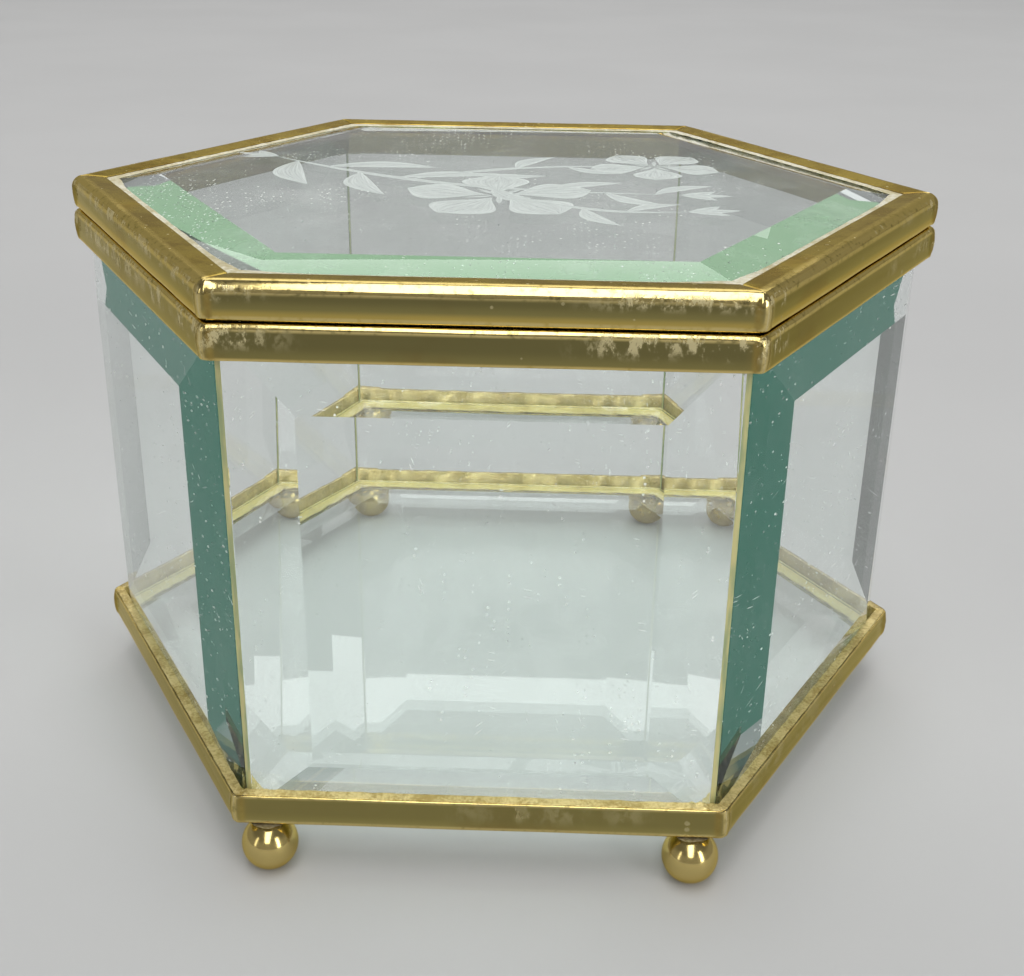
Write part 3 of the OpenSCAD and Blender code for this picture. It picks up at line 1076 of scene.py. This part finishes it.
@dataclass
class Case:
    """The case: six walls and a floor of glass between the base strip and the collar."""

    frame: dict[str, Any]
    finishes: Finishes
    strip_t: float = 0.5 * MM
    flange_w: float = 8.0 * MM
    base_low_r: float = 0.6 * MM
    collar_top_r: float = 0.9 * MM
    collar_leg_h: float = 4.6 * MM
    edge_r: float = 0.14 * MM
    glass_gap: float = 0.15 * MM
    wall_edge_t: float = 1.2 * MM
    wall_bevel_w: float = 11.0 * MM
    rim_foot: float = 1.5 * MM
    sides: tuple[str, ...] = ("front", "front_right", "back_right", "back", "back_left", "front_left")

    def __post_init__(self) -> None:
        """Reads the places of the strips and the walls."""
        self.base, self.collar, self.wall = map(Reach.of, ("base_frame", "collar_frame", "wall_glass_back"))
        self.wall_inner, self.wall_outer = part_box("wall_glass_back")[0].y, self.wall.apothem
        self.leg = self.collar.apothem - self.wall_inner + self.glass_gap

    def grind(self, piece: Piece, faces_deg: float) -> None:
        """Grinds a wall's bevel down to its edge thickness.

        A point's depth is its distance outwards from the inner face. Points between both faces, at
        the ends of the bevel, move straight in to the edge thickness.

        Args:
            piece: The wall.
            faces_deg: The way it faces, in degrees from +X.
        """
        points = np.empty(len(piece.data.vertices) * 3)
        piece.data.vertices.foreach_get("co", points)
        points = points.reshape(-1, 3)
        angle = math.radians(faces_deg)
        outwards = np.array([math.cos(angle), math.sin(angle), 0.0])
        depth = points @ outwards - self.wall_inner
        full = self.wall_outer - self.wall_inner
        between = (depth > 0.2 * full) & (depth < 0.9 * full)
        points += np.where(between, self.wall_edge_t - depth, 0.0)[:, None] * outwards
        piece.data.vertices.foreach_set("co", points.ravel())
        piece.data.update()

    def rim_end(self, level: float) -> float:
        """Where the rim's cement meets the leaning lower bevel of a wall.

        Args:
            level: Height above the strip's underside.

        Returns:
            Distance inward of the strip's outer face.
        """
        slope = (self.wall_outer - self.wall_inner - self.wall_edge_t) / self.wall_bevel_w
        face = self.wall_inner + self.wall_edge_t + slope * (self.base.low + level - self.wall.low)
        return self.base.apothem - face - 0.04 * MM

    def strips(self) -> None:
        """The angle under the walls and the floor, and the channel over the walls."""
        h, t, r = self.base.tall, self.strip_t, self.edge_r
        corners = [
            (0, 0, self.base_low_r),
            (0, h, r),
            (t, h, r),
            (t, t, self.base_low_r - t),
            (self.flange_w, t, r),
            (self.flange_w, 0, r),
        ]
        StripRing("base_brass", corners, self.base, 5).build(Body.CASE, self.finishes.base, "base_frame")
        h, leg = self.collar.tall, self.leg
        foot = h - self.collar_leg_h
        corners = [
            (0, 0, r),
            (0, h, self.collar_top_r),
            (leg + t, h, r),
            (leg + t, foot, r),
            (leg, foot, r),
            (leg, h - t, r),
            (t, h - t, self.collar_top_r - t),
            (t, 0, r),
        ]
        strip = StripRing("collar_brass", corners, self.collar, 7)
        strip.build(Body.CASE, self.finishes.strip, "collar_frame")

    def cement(self) -> None:
        """The rough line along the base strip, and the beddings."""
        h, t = self.base.tall, self.strip_t
        foot = self.rim_foot
        corners = [
            (t + 0.02 * MM, foot, 0.05 * MM),
            (t - 0.18 * MM, h + 0.10 * MM, 0.1 * MM),
            (self.rim_end(h), h + 0.22 * MM, 0.1 * MM),
            (self.rim_end(foot), foot, 0.05 * MM),
        ]
        line = CementLine("base_cement_line", corners, self.base, 41, lumps=0.10 * MM)
        line.build(Body.CASE, self.finishes.rim, "base_bead")
        under = self.wall.low - self.base.low - 0.04 * MM
        corners = bed(t + 0.02 * MM, under, self.flange_w - 0.5 * MM, self.flange_w - 0.8 * MM)
        line = CementLine("base_bedding_line", corners, self.base, 51, lumps=0.25 * MM)
        line.build(Body.CASE, self.finishes.bedding, "base_bedding")
        top, head = self.collar.tall - t - 0.02 * MM, self.wall.high - self.collar.low + 0.05 * MM
        end = self.leg - 0.05 * MM
        line = CementLine("collar_bedding_line", bed(head, top, end, end), self.collar, 61, lumps=0.05 * MM)
        line.build(Body.CASE, self.finishes.bedding, "collar_bedding")

    def build(self) -> None:
        """Makes and dresses the whole case."""
        self.strips()
        self.cement()
        walls = {f"wall_glass_{side}": 60 * k - 90 for k, side in enumerate(self.sides)}
        for node, thing in self.frame["nodes"].items():
            if node in walls or node == "floor_glass":
                piece = softened(self.frame, node, 20)
                if node in walls:
                    self.grind(piece, walls[node])
                glass = self.finishes.wall if node in walls else self.finishes.floor
                mount(piece, Body.CASE, glass, Slot.GLASS, node)
            if node.startswith("corner_seam"):
                for k in range(len(thing.data.materials)):
                    thing.data.materials[k] = self.finishes.seam
                LOG.info("%s: dressed", node)


@dataclass
class Feet:
    """Four brass balls, each soldered under the base strip."""

    finishes: Finishes
    rows: int = 40
    columns: int = 48
    flat: float = 0.08 * MM
    neck: float = 1.9 * MM
    skirt: float = 1.1 * MM
    sunk: float = 0.35 * MM
    bumps: float = 0.25 * MM

    def turned(self, name: str, centre: Vector, ring: Points, level: Points, sharp_deg: float) -> Piece:
        """A profile turned about an upright axis.

        Args:
            name: The object's name.
            centre: A point of the axis.
            ring: Radius of each profile point, alone or at each turn.
            level: z, likewise.
            sharp_deg: Edges that turn by more stay sharp.

        Returns:
            The object.
        """
        count = self.columns if len(ring) == 1 else len(ring)
        turn = np.linspace(0, 2 * np.pi, count, endpoint=False)[:, None]
        x, y = centre.x + ring * np.cos(turn), centre.y + ring * np.sin(turn)
        return grid_mesh(name, np.stack(np.broadcast_arrays(x, y, level), -1), False, sharp_deg)

    def ball(self, corner: str) -> None:
        """Makes a ball: a circle's arc turned about the upright axis, with a worn flat below.

        Args:
            corner: The corner that it stands under.
        """
        low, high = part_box(f"ball_foot_{corner}")
        radius = (high.x - low.x) / 2
        lat = np.linspace(-np.pi / 2, np.pi / 2, self.rows)[None]
        level = np.clip(low.z + radius - self.flat + np.sin(lat) * radius, low.z, high.z)
        piece = self.turned(f"brass_ball_{corner}", (low + high) / 2, np.cos(lat) * radius, level, 32.0)
        mount(piece, Body.CASE, self.finishes.ball, Slot.BALL, f"ball_foot_{corner}")

    def solder(self, corner: str) -> None:
        """Makes a solder fillet: a curved collar that spreads where it meets the strip.

        Args:
            corner: The corner that it stands under.
        """
        low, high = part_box(f"foot_solder_{corner}")
        rise, turns = np.linspace(0, 1, 9)[None], 32
        seed = sum(ord(letter) * (k + 1) for k, letter in enumerate(corner))
        waver = Drift(seed, self.bumps, 1, 6, 6).at(np.arange(turns) / turns)[:, None]
        ring = self.neck + self.skirt * rise**2.2 + waver * rise
        level = low.z - self.sunk + (high.z - low.z + self.sunk - 0.01 * MM) * rise
        closed = np.zeros((turns, 1))
        ring, level = np.concatenate([closed, ring, closed], 1), np.c_[level[:, :1], level, level[:, -1:]]
        piece = self.turned(f"solder_{corner}", (low + high) / 2, ring, level, 50.0)
        mount(piece, Body.CASE, self.finishes.solder, Slot.SOLDER, f"foot_solder_{corner}")

    def build(self) -> None:
        """Makes the four feet."""
        for corner in ("front_left", "front_right", "back_left", "back_right"):
            self.ball(corner)
            self.solder(corner)


@dataclass
class Hinge:
    """The stop hinge: two leaves and a pin, their edges softened."""

    frame: dict[str, Any]
    finishes: Finishes
    sharp_deg: float = 30

    def build(self) -> None:
        """Makes the hinge's three pieces."""
        for node, body in (("body_leaf", Body.CASE), ("pin", Body.CASE), ("lid_leaf", Body.LID)):
            piece = softened(self.frame, f"hinge_{node}", 40)
            piece.data.shade_smooth()
            piece.data.set_sharp_from_angle(angle=math.radians(self.sharp_deg))
            mount(piece, body, self.finishes.hinge, Slot.HINGE, f"hinge_{node}")


@dataclass(frozen=True)
class Blade:
    """One frosted cut of the engraving: a blade along a line that bends sideways.

    Its middle line runs from (x, y) in the direction turn for length, and bends by sag at the middle.
    Its half width is wide * sin(pi * s ** skew), so that it comes to a point at both ends, and skew
    moves its widest place: under 1 towards the root, over 1 towards the tip.
    """

    x: float
    y: float
    turn: float
    length: float
    wide: float
    sag: float = 0.0
    skew: float = 0.8

    def spot(self, share: Any, aside: Any = 0.0) -> tuple[Any, Any]:
        """A place by the middle line.

        Args:
            share: Share of the length.
            aside: Distance aside from the line.

        Returns:
            Its x and y.
        """
        along, side = share * self.length, self.sag * np.sin(np.pi * share) + aside
        c, d = math.cos(self.turn), math.sin(self.turn)
        return self.x + along * c - side * d, self.y + along * d + side * c

    def heading(self, share: float) -> float:
        """Direction of the middle line at a share of its length."""
        return self.turn + math.atan2(self.sag * math.pi * math.cos(math.pi * share), self.length)

    def grid(self, level: float, thick: float = 0.01) -> Points:
        """The blade as a closed thin lens.

        Args:
            level: The glass surface that it lies on.
            thick: Half its height.

        Returns:
            Points, shaped (along, around, 3), in millimetres.
        """
        s = np.linspace(0.0, 1.0, 29)[:, None]
        v = np.linspace(0, 2 * np.pi, 12, endpoint=False)[None, :]
        x, y = self.spot(s, self.wide * np.sin(np.pi * s**self.skew) * np.cos(v))
        return np.stack(np.broadcast_arrays(x, y, level + thick * (1.3 + np.sin(v))), -1)


@dataclass
class Engraving:
    """A frosted spray on the lid: a bent stem with lance leaves, two open blossoms and three buds."""

    finishes: Finishes
    level: float
    petals: int = 5

    def blossom(self, x: float, y: float, turn: float, size: float) -> list[Blade]:
        """Five round petals, and short threads between them at the heart.

        Args:
            x: Its middle.
            y: Its middle.
            turn: Direction of the first petal.
            size: Length of a petal.

        Returns:
            The cuts.
        """
        cuts = []
        for k in range(self.petals):
            way = turn + 2 * math.pi * k / self.petals
            root = (x + 0.12 * size * math.cos(way), y + 0.12 * size * math.sin(way))
            cuts.append(Blade(*root, way, size, 0.40 * size, 0.05 * size, 1.5))
            cuts.append(Blade(x, y, way + math.pi / self.petals, 0.42 * size, 0.035 * size, 0.0, 1.2))
        return cuts

    def pairs(self, stem: Blade, shares: Sequence[float], size: float) -> list[Blade]:
        """Lance leaves on either side of a stem, smaller towards its tip.

        Args:
            stem: The stem.
            shares: Where they grow, as shares of its length.
            size: Length of the largest, nearly.

        Returns:
            The cuts.
        """
        cuts = []
        for k, share in enumerate(shares):
            side = 1 if k % 2 else -1
            scale = size * (1.15 - 0.5 * share)
            way = stem.heading(share) + side * 0.66
            cuts.append(Blade(*stem.spot(share), way, scale, 0.13 * scale, side * 0.12 * scale, 0.95))
        return cuts

    def cuts(self) -> list[Blade]:
        """Lays out the spray, in millimetres from the middle of the lid.

        Returns:
            Every cut.
        """
        main = Blade(-46, 20, math.radians(-20), 84, 0.9, -9.0)
        branch = Blade(-20, -2, math.radians(22), 50, 0.8, 5.0)
        low = Blade(6, -15, math.radians(-14), 28, 0.75, -4.0)
        cuts = [main, branch, low]
        cuts += self.pairs(main, (0.08, 0.17, 0.27, 0.37, 0.60, 0.72, 0.84, 0.94), 20)
        cuts += self.pairs(branch, (0.30, 0.52, 0.72), 16)
        cuts += self.pairs(low, (0.35, 0.62), 14)
        cuts += self.blossom(0, -12, 0.35, 15.5)
        cuts += self.blossom(29, 17, 0.9, 11.5)
        for x, y, turn in ((32.0, -8.7, -0.03), (-45.0, 19.8, 2.8), (32.4, -21.9, 0.18)):
            for k in (-1, 0, 1):
                cuts.append(Blade(x, y, turn + 0.50 * k, 9.5 - 2.0 * abs(k), 1.25, -0.6 * k, 1.0))
        return cuts

    def build(self) -> None:
        """Makes the spray as one thin mesh, whose UV map runs along and across each cut."""
        grids = np.array([cut.grid(self.level / MM) for cut in self.cuts()]) * MM
        blades, rows, around = grids.shape[:3]
        row, turn = quads(rows, around, True, False)
        blade = np.arange(blades)[:, None, None, None]
        faces = (blade * rows + row) * around + turn % around
        mesh = bpy.data.meshes.new("frosted_spray")
        mesh.from_pydata(grids.reshape(-1, 3), [], faces.reshape(-1, 4))
        along, across = row / (rows - 1) + 0.37 * blade, 0.5 + 0.5 * np.cos(2 * np.pi * turn / around)
        piece = finished(mesh, np.stack(np.broadcast_arrays(along, across), -1), 60.0, "cut")
        mount(piece, Body.LID, self.finishes.etch, Slot.GLASS)


@dataclass
class Studio:
    """A pale table, soft lamps and the camera."""

    focal_px: float = 1400.0
    image_w: float = 1024.0
    sensor_mm: float = 36.0
    eye: Triple = (9.94 * MM, -258.6 * MM, 155.7 * MM)
    yaw: float = 0.0280
    pitch: float = 0.4185
    roll: float = 0.0150
    table: float = 12.0
    aim: Triple = (0.0, 0.0, 50 * MM)
    horizon: float = 0.34
    zenith: float = 0.18
    sky_from: float = 0.3
    sky_to: float = 0.6

    def camera(self) -> None:
        """Looks along +Y turned by yaw, then down by pitch, then rolled about the line of sight."""
        data = bpy.data.cameras.new("camera")
        data.sensor_fit, data.sensor_width = "HORIZONTAL", self.sensor_mm
        data.lens = self.focal_px / self.image_w * self.sensor_mm
        data.clip_start = 0.01
        eye = placed("camera", data)
        pose = Matrix.Translation(self.eye)
        for angle, axis in ((self.yaw, "Z"), (math.pi / 2 - self.pitch, "X"), (self.roll, "Z")):
            pose = pose @ Matrix.Rotation(angle, 4, axis)
        eye.matrix_world = pose
        bpy.context.scene.camera = eye

    def floor(self) -> None:
        """The table top, a plane that fills the view."""
        half = self.table / 2
        corners = [(-half, -half, 0), (half, -half, 0), (half, half, 0), (-half, half, 0)]
        mesh = bpy.data.meshes.new("table_top")
        mesh.from_pydata(corners, [], [(0, 1, 2, 3)])
        mesh.materials.append(FloorFinish("table_finish").material())
        placed("table_top", mesh)

    def lamp(self, name: str, place: Triple, size: tuple[float, float], radiance: float) -> None:
        """A rectangular lamp of even radiance that faces the casket.

        Args:
            name: Its name.
            place: Its middle.
            size: Its width and height.
            radiance: How bright its face is; 1 is a white surface in full light.
        """
        data = bpy.data.lights.new(name, "AREA")
        data.shape = "RECTANGLE"
        data.size, data.size_y = size
        data.energy = radiance * math.pi * size[0] * size[1]
        lamp = placed(name, data)
        lamp.location = place
        lamp.rotation_euler = (Vector(self.aim) - Vector(place)).to_track_quat("-Z", "Y").to_euler()

    def sky(self) -> None:
        """Grey light from all round, dimmer overhead, where the long lamp is."""
        g = Graph("studio", world=True)
        height = g.split("XYZ", g.add("TexCoord").outputs["Generated"])[2]
        keys = ("Value", "From Min", "From Max", "To Min", "To Max")
        fade = dict(zip(keys, (height, self.sky_from, self.sky_to, self.horizon, self.zenith)))
        strength = g.out("MapRange", fade, interpolation_type="SMOOTHSTEP")
        bpy.context.scene.world = g.finish(g.out("Background", {"Color": WHITE, "Strength": strength}))

    def build(self) -> None:
        """Sets up the whole studio."""
        self.camera()
        self.floor()
        self.sky()
        self.lamp("long_box", (-0.05, -1.5, 3.3), (1.4, 6.0), 4.3)
        self.lamp("window", (2.3, -2.3, 1.25), (0.7, 2.4), 6.0)
        self.lamp("rear_box", (0.0, 2.2, 2.46), (3.6, 1.9), 1.5)
        self.lamp("back_panel", (0.0, 2.6, 0.96), (1.3, 0.11), 0.75)
        self.lamp("fill", (-2.4, -2.0, 1.1), (0.35, 1.8), 2.5)


def main() -> None:
    """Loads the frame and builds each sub-assembly in order."""
    logging.basicConfig(level=logging.INFO, format="%(name)s: %(message)s")
    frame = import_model()
    bpy.context.scene.view_settings.view_transform = "Standard"
    Studio().build()
    finishes = Finishes()
    Case(frame, finishes).build()
    Lid(frame, finishes).build()
    Feet(finishes).build()
    Hinge(frame, finishes).build()
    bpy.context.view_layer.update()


if __name__ == "__main__":
    main()
